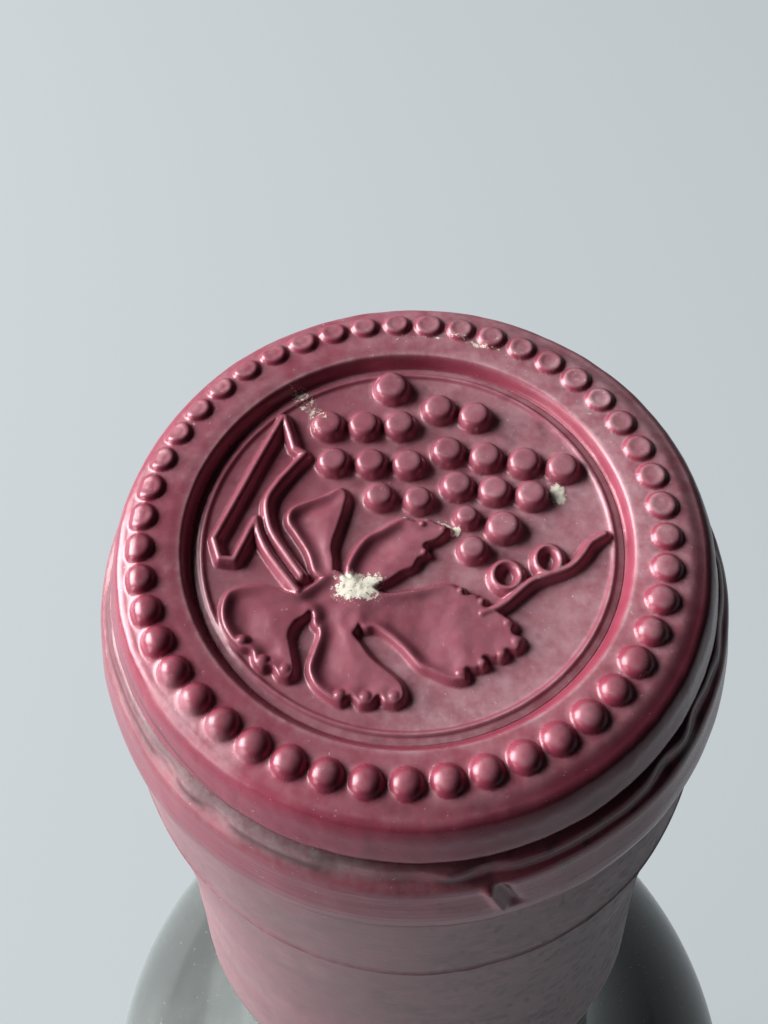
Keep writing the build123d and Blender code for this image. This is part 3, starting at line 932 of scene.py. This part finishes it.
outside = dome(FOOT_R - FOOT_LAND, FOOT_DROP, PUNT_H)[::-1] + [(FOOT_R, FOOT_DROP)]
outside += arc_points(BODY_R - HEEL_R, FOOT_DROP + HEEL_R, HEEL_R, -90, 0)[1:]
outside += shoulder(NECK_R, BODY_R)[::-1]
finish = sleeve(0.42, 0.5)[::-1]
mouth = [(11.1, -1.6), BORE]
widening = NECK_R - WALL - BORE[0]
drop = NECK_FOOT - BORE[1]
inside_rows = [(BORE[0] + widening * t, BORE[1] + drop * t) for t in (0.3, 0.6, 0.9)]
glass_rows = outside + finish + mouth + inside_rows + inner_wall(0.0)
TURNS = 192
spin(
    "bottle_glass", glass_rows, TURNS, glass_paint, "glass",
    (FOOT_DROP + PUNT_H, FOOT_DROP + BASE_T + PUNT_H),
)

REACH = 0.15  # the wine's skin lies this far inside the glass wall, so that no air shows between
level_r = BORE[0] + widening * (FILL - BORE[1]) / drop + REACH
meniscus = [(0.5, FILL - 0.35), (4.0, FILL - 0.35), (level_r - 2.2, FILL - 0.3), (level_r - 0.9, FILL - 0.12)]
wine_rows = meniscus + [(level_r, FILL)] + inner_wall(REACH)
spin(
    "wine_fill", wine_rows, TURNS, wine_paint, "wine",
    (FILL - 0.35, FOOT_DROP + BASE_T + PUNT_H - REACH),
)

# ---------------------------------------------------------------- floor, light and camera
BACKDROP = srgb(199, 207, 211)
floor_material, tree, nodes, links = new_material("studio_floor")
diffuse = nodes.new("ShaderNodeBsdfDiffuse")
diffuse.inputs["Color"].default_value = srgb(178, 184, 188)
glow = nodes.new("ShaderNodeEmission")
glow.inputs["Color"].default_value = BACKDROP
glow.inputs["Strength"].default_value = 1.0
# The floor glows a little for what is seen straight, through glass or mirrored, and keeps its shadow.
MIRRORED = 0.6
GLOW = 0.72
path = nodes.new("ShaderNodeLightPath")
mirrored = math_node(tree, "MULTIPLY", path.outputs["Is Glossy Ray"], MIRRORED)
seen = math_node(tree, "MAXIMUM", path.outputs["Is Camera Ray"], mirrored)
seen = math_node(tree, "MAXIMUM", seen, path.outputs["Is Transmission Ray"])
mix = nodes.new("ShaderNodeMixShader")
links.new(math_node(tree, "MULTIPLY", seen, GLOW), mix.inputs["Fac"])
links.new(diffuse.outputs[0], mix.inputs[1])
links.new(glow.outputs[0], mix.inputs[2])
out = nodes.new("ShaderNodeOutputMaterial")
links.new(mix.outputs[0], out.inputs["Surface"])

FLOOR_REACH = 14.0  # metres from its middle
FLOOR_GAP = 0.0002
floor_mesh = bpy.data.meshes.new("studio_floor")
corners = [(FLOOR_REACH * i, FLOOR_REACH * j, 0) for i, j in ((-1, -1), (1, -1), (1, 1), (-1, 1))]
floor_mesh.from_pydata(corners, [], [(0, 1, 2, 3)])
floor_mesh.materials.append(floor_material)
floor = bpy.data.objects.new("studio_floor", floor_mesh)
floor.location.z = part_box("glass")[0][2] - FLOOR_GAP
bpy.context.scene.collection.objects.link(floor)

world = bpy.data.worlds.new("studio")
bpy.context.scene.world = world
world.use_nodes = True
tree = world.node_tree
tree.nodes.clear()
path = tree.nodes.new("ShaderNodeLightPath")
seen = math_node(tree, "MAXIMUM", path.outputs["Is Camera Ray"], path.outputs["Is Transmission Ray"])
dim = tree.nodes.new("ShaderNodeBackground")
dim.inputs["Color"].default_value = srgb(214, 222, 232)
dim.inputs["Strength"].default_value = 0.025
pale = tree.nodes.new("ShaderNodeBackground")
pale.inputs["Color"].default_value = BACKDROP
mix = tree.nodes.new("ShaderNodeMixShader")
out = tree.nodes.new("ShaderNodeOutputWorld")
tree.links.new(seen, mix.inputs["Fac"])
tree.links.new(dim.outputs[0], mix.inputs[1])
tree.links.new(pale.outputs[0], mix.inputs[2])
tree.links.new(mix.outputs[0], out.inputs["Surface"])

AIM_DROP = 0.02  # the lamps face a place this far below the rim, metres


def area_light(name, direction, distance, size, power):
    """A soft square lamp in the given direction from the capsule, facing it."""
    data = bpy.data.lights.new(name, "AREA")
    data.size = size
    data.energy = power
    lamp = bpy.data.objects.new(name, data)
    aim = Vector((0, 0, RIM_Z - AIM_DROP))
    lamp.location = aim + Vector(direction).normalized() * distance
    lamp.rotation_euler = (lamp.location - aim).to_track_quat("Z", "Y").to_euler()
    bpy.context.scene.collection.objects.link(lamp)
    return lamp


area_light("key", (-0.85, 0.27, 0.4), distance=1.0, size=0.66, power=27.0)
area_light("fill", (-0.9, -0.4, 0.2), distance=1.2, size=0.6, power=6.0)

# The camera's place and turn make the bead ring, the recess and the collar lie as in the photo.
camera_data = bpy.data.cameras.new("camera")
camera_data.sensor_width = 36.0
camera_data.lens = 45.7
camera_data.shift_y = -0.117
camera_data.clip_start = 0.001
camera_data.clip_end = 50.0
camera = bpy.data.objects.new("camera", camera_data)
RIGHT = Vector((0.99974, 0.00609, -0.02216))
UP = Vector((0.00849, 0.79809, 0.60247))
BACK = Vector((0.02135, -0.6025, 0.79783))
turn = Matrix((RIGHT, UP, BACK)).transposed()
camera.rotation_mode = "QUATERNION"
camera.rotation_quaternion = turn.to_quaternion()
camera.location = (0.0, -0.03057, RIM_Z + 0.05103)
bpy.context.scene.collection.objects.link(camera)
bpy.context.scene.camera = camera
bpy.context.scene.view_settings.view_transform = "Standard"
